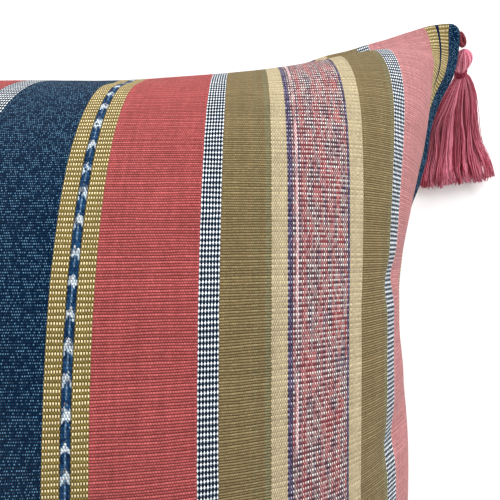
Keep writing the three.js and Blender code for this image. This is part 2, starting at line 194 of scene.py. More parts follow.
def bendThreads(x, force, bend):
    # a bent thread draws its middle back between its two neighbours
    for axis in (1, 2):
        line, push = np.moveaxis(x, axis, 1), np.moveaxis(force, axis, 1)
        kink = bend * (line[:, 2:] + line[:, :-2] - 2 * line[:, 1:-1])
        push[:, 1:-1] += 2 * kink
        push[:, 2:] -= kink
        push[:, :-2] -= kink


def settlePanels(x, form, steps):
    # two panels of threads sewn round their edges: threads resist stretching, the filling pushes
    # the panels apart until they reach its height, and the floor stops them
    pitch = form["side"] / (x.shape[1] - 1)
    diagonal = pitch * math.sqrt(2)
    slack, bias = form["slackThread"], form["biasThread"]
    every, lo, hi = slice(None), slice(None, -1), slice(1, None)
    seam = np.zeros(x.shape[1:3], bool)
    seam[0] = seam[-1] = True
    seam[:, 0] = seam[:, -1] = True
    speed = np.zeros_like(x)
    for _ in range(steps):
        force = np.zeros_like(x)
        pullThreads(x, force, (every, lo), (every, hi), pitch, 1.0, slack)
        pullThreads(x, force, (every, every, lo), (every, every, hi), pitch, 1.0, slack)
        pullThreads(x, force, (every, lo, lo), (every, hi, hi), diagonal, bias, bias / 2)
        pullThreads(x, force, (every, hi, lo), (every, lo, hi), diagonal, bias, bias / 2)
        bendThreads(x, force, form["clothBend"] / pitch ** 2)
        thick = x[0, ..., 2] - x[1, ..., 2]
        room = (form["fillHeight"] - thick) / (form["fillEase"] * form["fillHeight"])
        room = np.clip(room, 0, 1)
        room = (room[1:, 1:] + room[:-1, 1:] + room[1:, :-1] + room[:-1, :-1]) / 4
        first, second = x[:, 1:, 1:] - x[:, :-1, :-1], x[:, :-1, 1:] - x[:, 1:, :-1]
        push = np.cross(first, second) * room[None, ..., None] * outward * (form["fillPush"] / 8)
        for rows, columns in ((hi, hi), (lo, hi), (hi, lo), (lo, lo)):
            force[:, rows, columns] += push
        force[1, ..., 2] -= form["sag"] * form["fillPush"] * pitch ** 2
        shared = (force[0][seam] + force[1][seam]) / 2
        force[0][seam] = shared
        force[1][seam] = shared
        speed = form["damping"] * speed + force * form["stepTime"]
        x = x + speed * form["stepTime"]
        under = x[..., 2] < 0
        x[under, 2] = 0
        speed[under, 2] *= form["floorDamping"]
    return x


def filledPanels(form):
    # starts from a low dome on a square, settles it, and settles it again on finer grids
    side = form["side"]
    line = np.linspace(-1, 1, form["cells"][0] + 1)
    across, along = np.meshgrid(line, line, indexing="ij")
    dome = np.sqrt(np.maximum(0, (1 - across ** 2) * (1 - along ** 2)))
    lift = form["startDome"] * side * dome
    flat, level = form["startHalf"] * side, form["startHeight"] * side
    x = np.stack([
        np.stack([flat * across, flat * along, level + lift], -1),
        np.stack([flat * across, flat * along, level - lift], -1),
    ])
    for cells, steps in zip(form["cells"], form["steps"]):
        matrix = blendMatrix(np.linspace(0, x.shape[1] - 1, cells + 1), x.shape[1])
        x = np.einsum("ia,pabk,jb->pijk", matrix, x, matrix)
        x = settlePanels(x, form, steps)
        crown = round(float(x[..., 2].max()), 1)
        print("cushion settled on", cells, "cells, crown", crown, "mm")
    return x


def flatPlaces(form):
    # places on a flat panel that crowd towards the seam, and the same with its corners rounded
    half, insets = form["side"] / 2, np.array(form["insets"])
    inner = half - insets[-1]
    middle = np.linspace(-inner, inner, int(round(2 * inner / form["spacing"])) + 1)
    line = np.concatenate([insets[:-1] - half, middle, half - insets[-2::-1]])
    a, b = np.meshgrid(line, line, indexing="ij")
    straight = half - form["cornerRound"]
    overA, overB = np.maximum(np.abs(a) - straight, 0), np.maximum(np.abs(b) - straight, 0)
    square, circle = np.maximum(overA, overB), np.hypot(overA, overB)
    shrink = np.where(circle > 0, square / np.maximum(circle, 1e-9), 1)
    flatA = np.sign(a) * (np.minimum(np.abs(a), straight) + overA * shrink)
    flatB = np.sign(b) * (np.minimum(np.abs(b), straight) + overB * shrink)
    return line, a, b, flatA, flatB


def threadSlopes(points, line):
    # how far the cloth goes for each mm of its two threads
    return [np.stack([np.gradient(panel, line, axis=axis) for panel in points]) for axis in (0, 1)]


def moveCloth(points, a, b, seamAt):
    # each row adds its move * exp(-down ^ 2 - aside ^ 2), and less of it near the seam
    for row in clothMoves:
        turn = math.radians(row["turn"])
        p, q = a - row["across"], b - row["along"]
        down = (p * math.sin(turn) + q * math.cos(turn)) / row["length"]
        aside = (p * math.cos(turn) - q * math.sin(turn)) / row["width"]
        held = np.minimum(1, seamAt / row["hold"]) if row["hold"] else 1.0
        depth = held * np.exp(-down ** 2 - aside ** 2)
        for panel in row["panels"]:
            points[panel] += depth[..., None] * np.array(row["move"])


def seamRelief(a, b, seamAt, form):
    # lips rise to their height at lipAt from the seam and fade inwards: height * s * exp(1 - s);
    # the seam gathers the cloth in two sets of short waves that fade within 30 mm
    share = seamAt / np.array(form["lipAt"])[:, None, None]
    lip = np.array(form["lipHeight"])[:, None, None] * share * np.exp(1 - share)
    run = np.where(np.abs(a) > np.abs(b), b, a)
    short, wide = form["rippleLengths"]
    ripple = np.sin(run / short + 2 * np.sin(run / form["rippleDrift"]))
    ripple += 0.6 * np.sin(run / wide + 1.3)
    rise = np.minimum(1, seamAt / form["rippleRise"])
    ripple *= form["rippleHeight"] * rise * np.exp(-seamAt / form["rippleFade"])
    return lip + ripple


def sinkSeam(points, seam, depth):
    # the seam's points meet halfway between the panels and sink inwards into the groove
    middle = (points[0] + points[1]) / 2
    inwards, beyond = np.zeros_like(middle), 4  # rows from the seam that show which way is in
    inwards[0], inwards[-1] = middle[beyond] - middle[0], middle[-beyond - 1] - middle[-1]
    inwards[:, 0] += middle[:, beyond] - middle[:, 0]
    inwards[:, -1] += middle[:, -beyond - 1] - middle[:, -1]
    points[:, seam] = (middle + unit(inwards) * depth)[seam]


def cushionPoints(x, form):
    # reads the settled panels at the flat places by cubic interpolation along both threads; the
    # corners' shift is small, so it follows the surface's own slopes
    side = form["side"]
    line, a, b, flatA, flatB = flatPlaces(form)
    cells = x.shape[1] - 1
    matrix = blendMatrix((line + side / 2) / side * cells, cells + 1)
    points = np.einsum("ia,pabk,jb->pijk", matrix, x, matrix)
    slopeA, slopeB = threadSlopes(points, line)
    points = points + slopeA * (flatA - a)[..., None] + slopeB * (flatB - b)[..., None]
    normals = unit(np.cross(*threadSlopes(points, line))) * outward
    seamAt = side / 2 - np.maximum(np.abs(a), np.abs(b))
    moveCloth(points, a, b, seamAt)
    points += normals * seamRelief(a, b, seamAt, form)[..., None]
    points[..., 2] = np.maximum(points[..., 2], 0)
    seam = seamAt < 1e-6
    sinkSeam(points, seam, form["grooveDepth"])
    return points, np.stack([flatA / side + 0.5, flatB / side + 0.5], -1), seam


def buildCushion(form):
    # the two panels share the seam's points
    points, uvs, seam = cushionPoints(filledPanels(form), form)
    rows = points.shape[1]
    number = np.arange(rows * rows).reshape(rows, rows)
    number[~seam] = rows * rows + np.arange((~seam).sum())
    quads = gridQuads(rows, rows)
    faces = np.concatenate([quads[:, ::-1], number.ravel()[quads]])
    allPoints = np.concatenate([points[0].reshape(-1, 3), points[1][~seam]])
    allUvs = np.concatenate([uvs.reshape(-1, 2), uvs[~seam]])
    piece = addPiece("filledCushion", allPoints, faces.tolist(), allUvs)
    print("cushion built,", len(allPoints), "points, corner", points[0, -1, -1].round(1))
    return piece


cushionPiece = buildCushion(cushionForm)
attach(cushionPiece, "root")
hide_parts("cushion")


# a tassel at the top right corner of the cushion, in mm
tasselForm = {
    "tip": (218.2, 218.2, 70.5),  # that corner
    "gap": 0.3,
    "loopLength": 8.4,
    "loopWidth": 5.0,
    "loopRope": 2.45,
    "loopReach": 1.0,  # how far the loop goes back into the corner
    "loopTwists": 9,
    "loopGroove": 0.34,
    "headLength": 14.5,
    "headWidth": 10.8,
    "headTurns": 27,
    "turnHeight": 0.6,
    "turnWander": 0.12,
    "headUneven": 0.05,
    "neckAt": 0.72,  # share of head and neck where the neck starts, and where it is full
    "neckFull": 0.1,
    "neckLength": 3.4,
    "neckWidth": 5.6,
    "bindingThick": 0.78,
    "bindingTurns": 4,
    "settle": 0.9,
    "skirtHalfHeight": 6.8,
    "endHalf": 1.05,
    "locks": 44,
    "lockShorter": 0.045,  # share of the length by which locks, and yarns in them, differ
    "yarns": 820,
    "yarnShorter": 0.025,
    "yarnTurn": 0.08,  # how far the yarns stand from their lock, in radians and in share
    "yarnAside": 0.05,
    "yarnThick": 0.5,
    "yarnSides": 4,
    "yarnSteps": 12,
    "bendWaves": ((1.3, 9.0), (0.4, 5.0)),  # height and length, of the lock and of each yarn
    "liftWaves": ((0.5, 7.0), (0.3, 4.6)),
    "wavePhase": 6.28,
}

# half width of the skirt, and its middle's place beside the tassel's line, over its length
skirtShape = {
    "share": (0, 0.08, 0.24, 0.45, 0.63, 0.77, 0.86, 1),
    "half": (2.3, 9.6, 15.8, 18.6, 20.2, 22.4, 25.2, 27.0),
    "aside": (-0.4, -2.0, -2.4, -1.4, -0.4, 0, 0, 0),
}

# the tassel's middle line from the corner's tip, and the share of the fall to the floor
tasselLine = {
    "right": (1.3, 5.8, 9.0, 12.2, 19.8, 25.4, 29.6, 33.6, 35.6),
    "down": (5.4, 11.2, 15.2, 20.4, 29.2, 39.4, 51.3, 68.0, 81.5),
    "fall": (0.003, 0.063, 0.15, 0.292, 0.568, 0.782, 0.916, 0.987, 1),
}

# quarter turns that carry the first tassel to each corner, its yaw, how much closer it hangs
corners = [
    {"name": "top_right", "quarter": 0, "yaw": 0, "closer": 0, "seed": 3},
    {"name": "bottom_right", "quarter": 3, "yaw": 5, "closer": 1.6, "seed": 5},
    {"name": "bottom_left", "quarter": 2, "yaw": -4, "closer": 0.5, "seed": 8},
    {"name": "top_left", "quarter": 1, "yaw": 7, "closer": 1.85, "seed": 13},
]


def smoothLine(points, count):
    # a cubic through the points, with slopes from their neighbours, read at even lengths
    gaps = np.linalg.norm(np.diff(points, axis=0), axis=1)
    at = np.concatenate([[0], np.cumsum(gaps)])
    slopes = np.gradient(points, at, axis=0)
    fine = np.linspace(0, at[-1], 12 * count)
    k = np.clip(np.searchsorted(at, fine, side="right") - 1, 0, len(points) - 2)
    span = (at[k + 1] - at[k])[:, None]
    t = (fine - at[k])[:, None] / span
    line = (
        points[k] * (2 * t ** 3 - 3 * t ** 2 + 1)
        + slopes[k] * span * (t ** 3 - 2 * t ** 2 + t)
        + points[k + 1] * (3 * t ** 2 - 2 * t ** 3)
        + slopes[k + 1] * span * (t ** 3 - t ** 2)
    )
    run = np.concatenate([[0], np.cumsum(np.linalg.norm(np.diff(line, axis=0), axis=1))])
    even = np.linspace(0, run[-1], count)
    return np.stack([np.interp(even, run, line[:, axis]) for axis in range(3)], -1), run[-1]


def sideAndUp(forward):
    # a level direction square to forward, and the one square to both
    side = unit(np.cross(np.array([0.0, 0.0, 1.0]), forward))
    return side, np.cross(forward, side)


def tasselFrame(form):
    # the tassel's line with its directions: right, down and fall are added to the corner's tip
    tip = form["tip"]
    rest = form["settle"] * form["skirtHalfHeight"] + form["endHalf"]
    right, down, fall = [np.array(tasselLine[key]) for key in ("right", "down", "fall")]
    places = np.stack([tip[0] + right, tip[1] - down, tip[2] + (rest - tip[2]) * fall], -1)
    line, length = smoothLine(places, 241)
    forward = unit(np.gradient(line, axis=0))
    side, up = sideAndUp(forward)
    return {"line": line, "length": length, "forward": forward, "side": side, "up": up}


def readFrame(path, lengths):
    # the frame's point and directions at any lengths along it
    at = np.clip(lengths / path["length"], 0, 1) * (len(path["line"]) - 1)
    lo = np.minimum(np.floor(at).astype(int), len(path["line"]) - 2)
    t = (at - lo)[..., None]
    line, *directions = [
        path[key][lo] * (1 - t) + path[key][lo + 1] * t
        for key in ("line", "forward", "side", "up")
    ]
    return [line] + [unit(direction) for direction in directions]


def roundPoints(middles, side, up, turn, reach):
    # middle + side * reach * cos(turn) + up * reach * sin(turn)
    sideways, upwards = (reach * np.cos(turn))[..., None], (reach * np.sin(turn))[..., None]
    return middles + side * sideways + up * upwards


def tubeFaces(steps, sides, tubes=1):
    # quads along every tube, and a fan of triangles at each end
    fan = np.stack([np.zeros(sides - 2, int), np.arange(2, sides), np.arange(1, sides - 1)], -1)
    ends = np.concatenate([fan, fan[:, ::-1] + (steps - 1) * sides])
    quads = gridQuads(steps, sides, closedColumns=True)
    shift = (np.arange(tubes) * steps * sides)[:, None, None]
    return (quads + shift).reshape(-1, 4).tolist() + (ends + shift).reshape(-1, 3).tolist()


def meshed(points, faces, around, along, tones):
    # a mesh as flat lists: points, faces, the yarn's own coordinates and a tone for each point
    shape = points.shape[:-1]
    uvs = np.stack([np.broadcast_to(around, shape), np.broadcast_to(along, shape)], -1)
    tones = np.broadcast_to(tones, shape)
    return points.reshape(-1, 3), faces, uvs.reshape(-1, 2), tones.reshape(-1)


def skirtYarns(form, path, rng):
    # each yarn starts in the neck and spreads with its lock to the skirt's width: middle
    # + side * width * share * cos(angle) + up * height * share * sin(angle), waved and settled
    count, steps, locks = form["yarns"], form["yarnSteps"], form["locks"]
    start = 2 * form["gap"] + form["loopLength"] + form["headLength"] + form["neckLength"] / 2
    lock = rng.integers(0, locks, count)
    lockAngle = 2 * np.pi * (np.arange(locks) * 0.618) % (2 * np.pi)
    lockShare = np.sqrt((np.arange(locks) + 0.5) / locks)
    lockLength = 1 - form["lockShorter"] * rng.random(locks)
    angle = lockAngle[lock] + rng.normal(0, form["yarnTurn"], count)
    share = np.clip(lockShare[lock] + rng.normal(0, form["yarnAside"], count), 0, 1.03)
    cut = lockLength[lock] - form["yarnShorter"] * rng.random(count)
    t = np.linspace(0, 1, steps)[None, :] ** 0.9
    length = start + t * (path["length"] * cut - start)[:, None]

    def waves(rows, lockPhase):
        # the lock's shared wave and the yarn's own, both growing towards the ends
        (lockHigh, lockLong), (ownHigh, ownLong) = rows
        own = rng.uniform(0, form["wavePhase"], (count, 1))
        lockWave = lockHigh * np.sin(length / lockLong + lockPhase)
        return t * (lockWave + ownHigh * np.sin(length / ownLong + own))

    lockPhase = rng.uniform(0, form["wavePhase"], locks)[lock][:, None]
    bend = waves(form["bendWaves"], lockPhase)
    lift = waves(form["liftWaves"], 2 * lockPhase)
    wide = np.interp(t, skirtShape["share"], skirtShape["half"])
    aside = np.interp(t, skirtShape["share"], skirtShape["aside"])
    neck = wide[:, :1]
    high = neck + (form["skirtHalfHeight"] - neck) * np.clip(1.6 * t, 0, 1) ** 0.8
    middles, _, side, up = readFrame(path, length)
    middles = middles + side * (wide * (share * np.cos(angle))[:, None] + aside + bend)[..., None]
    middles = middles + up * (high * (share * np.sin(angle))[:, None] + lift)[..., None]
    radius = form["yarnThick"] / 2 * (0.75 + 0.5 * rng.random(count))[:, None] * (0.85 + 0.3 * t)
    middles[..., 2] = np.maximum(middles[..., 2], radius)
    side, up = sideAndUp(unit(np.gradient(middles, axis=1)))
    around = np.arange(form["yarnSides"]) / form["yarnSides"]
    points = roundPoints(middles[:, :, None], side[:, :, None], up[:, :, None],
                         2 * np.pi * around, radius[..., None])
    tones = 0.5 * rng.random(locks)[lock] + 0.5 * rng.random(count)
    faces = tubeFaces(steps, form["yarnSides"], count)
    return meshed(points, faces, around, (length / 100)[..., None], tones[:, None, None])


def headAxes(form, path):
    # where the head starts on the tassel's line, and its straight axis with two sides
    start = 2 * form["gap"] + form["loopLength"]
    ends = np.array([start, start + form["headLength"] + form["neckLength"]])
    origin, end = readFrame(path, ends)[0]
    axis = unit(end - origin)
    return (origin, axis) + sideAndUp(axis)


def headPoints(form, path):
    # a profile half * sin(turn) ^ 0.72 carried round the axis, drawn in to the neck, with a
    # ridge |sin(turns / 2 * around)| ^ 0.7 for each turn of yarn over it
    origin, axis, side, up = headAxes(form, path)
    rings, sides, turns, high = 30, 216, form["headTurns"], form["turnHeight"]
    t = np.linspace(0, 1, rings)
    neck = np.clip((t - form["neckAt"]) / form["neckFull"], 0, 1)
    radius = form["headWidth"] / 2 * np.sin(np.pi * np.minimum(t * 1.12, 1)) ** 0.72
    radius = np.maximum(radius, form["neckWidth"] / 2 * neck)
    radius[0] = radius[-1] = 0.02
    along = (form["headLength"] + form["neckLength"]) * t
    around = 2 * np.pi * np.arange(sides) / sides
    wander = form["turnWander"] * np.sin(2 * around + 3 * t[:, None])
    ridge = high * np.abs(np.sin(turns / 2 * (around + wander))) ** 0.7
    ridge = ridge * np.clip(radius / 3, 0, 1)[:, None]
    uneven = 1 + form["headUneven"] * np.sin(3 * around + 1.0) * np.sin(np.pi * t)[:, None]
    reach = np.maximum(radius[:, None] * uneven - high + ridge, 0.01)
    points = roundPoints(origin + axis * along[:, None, None], side, up, around, reach)
    tones = 0.6 + 0.3 * np.sin(turns * around * 0.37)
    faces, along = tubeFaces(rings, sides), (along / 100)[:, None]
    return meshed(points, faces, around / (2 * np.pi), along, tones)


def loopPiece(form, path):
    # a teardrop round the tassel's line, narrow end in the cushion's corner, of a two-ply cord:
    # a round section whose radius swells twice round, turning as it runs
    steps, sides, groove = 64, 12, form["loopGroove"]
    point, forward, side, _ = [v[0] for v in readFrame(path, np.array([0.0]))]
    halfLength = (form["loopLength"] - form["loopRope"] + form["loopReach"]) / 2
    halfWidth = (form["loopWidth"] - form["loopRope"]) / 2
    turn = 2 * np.pi * np.arange(steps) / steps
    reach = halfWidth * (1 - 0.3 * np.cos(turn)) * np.sin(turn)
    along = form["loopRope"] / 2 - form["loopReach"] + halfLength * (1 - np.cos(turn))
    middles = point + forward * along[:, None] + side * reach[:, None]
    forward = unit(np.roll(middles, -1, 0) - np.roll(middles, 1, 0))
    level = np.cross(middles[steps // 4] - middles[0], middles[steps // 2] - middles[0])
    side = unit(np.cross(unit(level), forward))
    around = np.arange(sides) / sides
    run = np.arange(steps)[:, None] / steps
    twist = 2 * np.pi * (around - form["loopTwists"] * run)
    reach = form["loopRope"] / 2 * (1 - groove + groove * np.abs(np.cos(twist)) ** 0.8)
    points = roundPoints(middles[:, None], side[:, None], np.cross(forward, side)[:, None],
                         2 * np.pi * around, reach)
    faces = gridQuads(steps, sides, closedRows=True, closedColumns=True).tolist()
    return meshed(points, faces, around, run, 0.5)


def bindingPiece(form, path):
    # a thread wound round the neck as a helix, thinned at both ends
    origin, axis, side, up = headAxes(form, path)
    middle = origin + axis * (form["headLength"] + form["neckLength"] / 2)
    turns, steps, sides = form["bindingTurns"], 144, 8
    t = np.linspace(0, 1, steps)
    centres = middle + axis * ((t - 0.5) * turns * form["bindingThick"])[:, None]
    middles = roundPoints(centres, side, up, 2 * np.pi * turns * t, form["neckWidth"] / 2 + 0.3)
    out = unit(middles - centres)
    across = np.cross(unit(np.gradient(middles, axis=0)), out)
    around = np.arange(sides) / sides
    thick = form["bindingThick"] / 2 * np.minimum(1, np.minimum(t, 1 - t) * 30 + 0.15)
    points = roundPoints(middles[:, None], out[:, None], across[:, None],
                         2 * np.pi * around, thick[:, None])
    return meshed(points, tubeFaces(steps, sides), around, (t * 0.8)[:, None], 0.5)


def swing(points, tip, corner):
    # yaw about the tip, then the quarter turn that carries the tassel to its own corner
    yaw, quarter = math.radians(corner["yaw"]), corner["quarter"] * math.pi / 2
    flat = points[:, :2] - np.array(tip[:2])
    turned = np.stack([
        flat[:, 0] * math.cos(yaw) - flat[:, 1] * math.sin(yaw),
        flat[:, 0] * math.sin(yaw) + flat[:, 1] * math.cos(yaw),
    ], -1) + (tip[0] - corner["closer"], tip[1])
    cosine, sine = round(math.cos(quarter)), round(math.sin(quarter))
    return np.stack([
        turned[:, 0] * cosine - turned[:, 1] * sine,
        turned[:, 0] * sine + turned[:, 1] * cosine,
        points[:, 2],
    ], -1)


def recalculateOutside(piece):
    made = bmesh.new()
    made.from_mesh(piece.data)
    bmesh.ops.recalc_face_normals(made, faces=made.faces)
    made.to_mesh(piece.data)
    made.free()


def joinMeshes(first, second):
    shift = len(first[0])
    faces = first[1] + [[index + shift for index in face] for face in second[1]]
    points, uvs, tones = [np.concatenate([first[k], second[k]]) for k in (0, 2, 3)]
    return points, faces, uvs, tones


tasselSlots = {"loop": "loop_cord", "tassel": "tassel_yarn", "binding": "binding_thread"}


def buildTassels(form):
    path = tasselFrame(form)
    head = headPoints(form, path)
    made = {"loop": loopPiece(form, path), "binding": bindingPiece(form, path)}
    pieces = {kind: [] for kind in tasselSlots}
    for corner in corners:
        yarns = skirtYarns(form, path, np.random.default_rng(corner["seed"]))
        made["tassel"] = joinMeshes(head, yarns)
        for kind, slot in tasselSlots.items():
            points, faces, uvs, tones = made[kind]
            points = swing(points, form["tip"], corner)
            piece = addPiece(kind + "Made_" + corner["name"], points, faces, uvs, tones)
            recalculateOutside(piece)
            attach(piece, "root")
            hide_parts(kind + "_" + corner["name"])
            pieces[kind].append(piece)
        print("tassel built at", corner["name"])
    return pieces


tasselPieces = buildTassels(tasselForm)


class nodeSheet:
    # adds nodes to a tree and links what it is given
    def __init__(self, tree):
        self.tree = tree

    def node(self, kind, **settings):
        made = self.tree.nodes.new(kind)
        for key, value in settings.items():
            setattr(made, key, value)
        return made

    def put(self, socket, value):
        if isinstance(value, bpy.types.NodeSocket):
            self.tree.links.new(value, socket)
        else:
            socket.default_value = value

    def math(self, operation, *values, clamp=False):
        made = self.node("ShaderNodeMath", operation=operation, use_clamp=clamp)
        for socket, value in zip(made.inputs, values):
            self.put(socket, value)
        return made.outputs[0]

    def times(self, first, second):
        return self.math("MULTIPLY", first, second)

    def plus(self, first, second):
        return self.math("ADD", first, second)

    def scaled(self, value, factor, offset, clamp=False):
        return self.math("MULTIPLY_ADD", value, factor, offset, clamp=clamp)

    def mix(self, share, first, second, mode="MIX"):
        made = self.node("ShaderNodeMix", data_type="RGBA", blend_type=mode)
        for index, value in ((0, share), (6, first), (7, second)):
            self.put(made.inputs[index], value)
        return made.outputs[2]

    def mixValue(self, share, first, second):
        made = self.node("ShaderNodeMix", data_type="FLOAT")
        for index, value in ((0, share), (2, first), (3, second)):
            self.put(made.inputs[index], value)
        return made.outputs[0]

    def vector(self, x, y, z):
        made = self.node("ShaderNodeCombineXYZ")
        for socket, value in zip(made.inputs, (x, y, z)):
            self.put(socket, value)
        return made.outputs[0]

    def noise(self, vector, scale, detail, roughness=0.5):
        made = self.node("ShaderNodeTexNoise", noise_dimensions="3D")
        self.put(made.inputs["Vector"], vector)
        made.inputs["Scale"].default_value = scale
        made.inputs["Detail"].default_value = detail
        made.inputs["Roughness"].default_value = roughness
        return made.outputs["Fac"]

    def random(self, x, y=0.0, z=0.0):
        made = self.node("ShaderNodeTexWhiteNoise", noise_dimensions="3D")
        self.put(made.inputs["Vector"], self.vector(x, y, z))
        return made.outputs["Value"]

    def ramp(self, value, low, high, outLow=0.0, outHigh=1.0):
        made = self.node("ShaderNodeMapRange", interpolation_type="SMOOTHSTEP")
        labels = ("Value", "From Min", "From Max", "To Min", "To Max")
        for label, setting in zip(labels, (value, low, high, outLow, outHigh)):
            self.put(made.inputs[label], setting)
        return made.outputs["Result"]


def newGroup(name, inputs, outputs):
    # a node group with float inputs at their usual values, and float outputs
    tree = bpy.data.node_groups.new(name, "ShaderNodeTree")
    for label, value in inputs.items():
        socket = tree.interface.new_socket(
            name=label, in_out="INPUT", socket_type="NodeSocketFloat")
        socket.default_value = value
    for label in outputs:
        tree.interface.new_socket(name=label, in_out="OUTPUT", socket_type="NodeSocketFloat")
    sheet = nodeSheet(tree)
    entry, leave = sheet.node("NodeGroupInput"), sheet.node("NodeGroupOutput")
    return sheet, entry.outputs, leave.inputs


def placeGroup(sheet, tree, values):
    made = sheet.node("ShaderNodeGroup")
    made.node_tree = tree
    for label, value in values.items():
        sheet.put(made.inputs[label], value)
    return made.outputs


def newMaterial(name, settings):
    material = bpy.data.materials.new(name)
    material.use_nodes = True
    shader = material.node_tree.nodes["Principled BSDF"]
    for label, value in settings.items():
        shader.inputs[label].default_value = value
    return material, nodeSheet(material.node_tree), shader


def pieceCoordinates(sheet):
    # the two numbers of the piece's own UV map
    split = sheet.node("ShaderNodeSeparateXYZ")
    sheet.put(split.inputs[0], sheet.node("ShaderNodeUVMap", uv_map="cloth").outputs[0])
    return split.outputs[0], split.outputs[1]


def addBump(sheet, shader, height, distance, strength):
    bump = sheet.node("ShaderNodeBump")
    bump.inputs["Distance"].default_value = distance
    bump.inputs["Strength"].default_value = strength
    sheet.put(bump.inputs["Height"], height)
    sheet.put(shader.inputs["Normal"], bump.outputs[0])


def shade(red, green, blue):
    # a colour as seen, 0 to 255, turned into the linear numbers that shaders use
    values = [channel / 255 for channel in (red, green, blue)]
    linear = [v / 12.92 if v <= 0.04045 else ((v + 0.055) / 1.055) ** 2.4 for v in values]
    return (*linear, 1.0)


def shades(colours):
    return {name: shade(*colour) for name, colour in colours.items()}


# the cloth's weave, in mm
clothWeave = {
    "pickPitch": 0.928,  # between weft ribs
    "wander": 0.2,  # how far the warp threads stray
    "pickWander": 0.6,
    "middleStripe": 244.05,  # from the right-hand seam to the middle of the middle stripe
}
clothLook = {
    "Roughness": 0.9,
    "Specular IOR Level": 0.05,
    "Sheen Weight": 0.06,
    "Sheen Roughness": 0.3,
    "Sheen Tint": (1.0, 0.95, 0.93, 1.0),
}
clothBump = {"distance": 0.0004, "strength": 0.9}

# stripes from the middle stripe outwards, mirrored to the other side, each with its width in mm
stripes = [
    ("coral", 16.25), ("check", 9.7), ("blue", 31.6), ("gold", 13.95), ("coral", 32.5),
    ("check", 6.8), ("olive", 17.7), ("cream", 5.85), ("ikat", 25.6), ("cream", 6.6),
    ("olive", 17.95), ("check", 6.8), ("coralPaintedSheen", 32.5), ("gold", 13.95), ("blue", 12.0),
]

# each stripe's weave: colours of the odd and even warp threads and of the gaps, which is painted
# shade between the domes, thread pitch in mm, reach and rise of an odd dome, rise of an even dome,
# how round the domes are across, and how many times as high as an even dome an odd one must be to
# cover it
threadColumns = ("odd", "even", "gap", "warp", "reach", "rise", "fill", "round", "over")
threadKinds = {kind: dict(zip(threadColumns, row)) for kind, row in {
    "coral": ((188, 96, 95), (174, 84, 84), (106, 38, 40), 0.42, 0.5, 0.25, 0.25, 0.6, 1.0),
    # a coral stripe drawn paler and with weaker gaps: painted sheen of the cushion's flank
    "coralPaintedSheen": ((180, 126, 126), (172, 118, 118), (150, 96, 98), 0.42, 0.5, 0.25, 0.25, 0.3, 1.0),
    "check": ((12, 28, 44), (240, 246, 250), (52, 68, 86), 0.525, 0.42, 0.5, 0.46, 1.0, 0.3),
    "blue": ((0, 46, 78), (0, 38, 68), (0, 18, 40), 0.36, 0.4, 0.27, 0.25, 0.9, 1.0),
    "gold": ((240, 218, 168), (138, 120, 62), (78, 66, 32), 0.435, 0.38, 0.32, 0.26, 1.0, 1.0),
    "olive": ((140, 123, 88), (130, 113, 80), (70, 58, 30), 0.4, 0.5, 0.25, 0.25, 0.4, 1.0),
    "cream": ((216, 200, 162), (192, 176, 144), (122, 106, 78), 0.31, 0.46, 0.36, 0.36, 1.0, 1.0),
    "ikat": ((250, 238, 240), (170, 130, 136), (74, 42, 54), 0.46, 0.36, 0.3, 0.36, 1.0, 0.8),
}.items()}

# the dyed stripe: even threads, the gaps beside them in painted shade, and the odd threads' dots
ikatDye = shades({
    "even": (156, 132, 130), "evenRed": (186, 92, 94), "evenOrange": (204, 96, 86),
    "evenDark": (92, 80, 98), "pale": (232, 192, 194), "besidePale": (86, 66, 82),
    "edge": (52, 44, 64), "edgeLight": (96, 84, 112),
    "gap": (80, 50, 60), "redGapShadeAndOval": (126, 50, 54), "darkGapShadeAndOval": (44, 38, 54),
    "paleGapShade": (206, 150, 152), "edgeGapShade": (30, 24, 40),
    "dot": (236, 232, 226), "dotRed": (218, 146, 138), "dotDark": (140, 130, 160),
    "dotDull": (206, 156, 160), "dotEdge": (96, 90, 118), "dotEdgeLight": (176, 170, 196),
})
ikatForm = {
    "threadStep": 0.45,  # how fast the dye changes from thread to thread, and along them
    "lengthStep": 0.06,
    "redShare": 0.7,
    "darkShare": 0.8,
    "singleOver": 0.86,  # threads that draw more than this are red all along
    "singleShare": 0.6,
    "ovalShare": 0.85,
    "orange": (5.0, 9.0),  # places in mm from the middle of the stripe
    "pale": (-9.2, 0.42),
    "besidePale": (-8.3, 0.45),
    "edges": (-10.9, 11.7),
}

# the chain in the gold stripes, in mm
chainForm = {
    "half": 1.6,  # and how much less in the outer stripes
    "thinner": 0.6,
    "innerTo": 150.0,  # from the middle stripe to the end of the inner gold stripes
    "repeat": 10.0,
    "slant": 1.2,
    "stray": 5.0,
    "feather": 2.4,
    "arrow": 0.3,  # share of a repeat
    "spineHalf": 0.24,
    "spineFrom": 0.45,
    "rim": 0.3,
}
# the chain's colours; gap is painted shade between its domes
chainDye = shades({
    "navy": (4, 34, 70), "outerNavy": (4, 22, 44), "innerNavy": (34, 78, 118),
    "white": (246, 250, 252), "dullWhite": (176, 194, 206), "spine": (150, 184, 210),
    "rim": (34, 40, 44), "gap": (10, 26, 48),
})
flecks = shades({"weft": (112, 160, 190), "green": (112, 136, 112)})


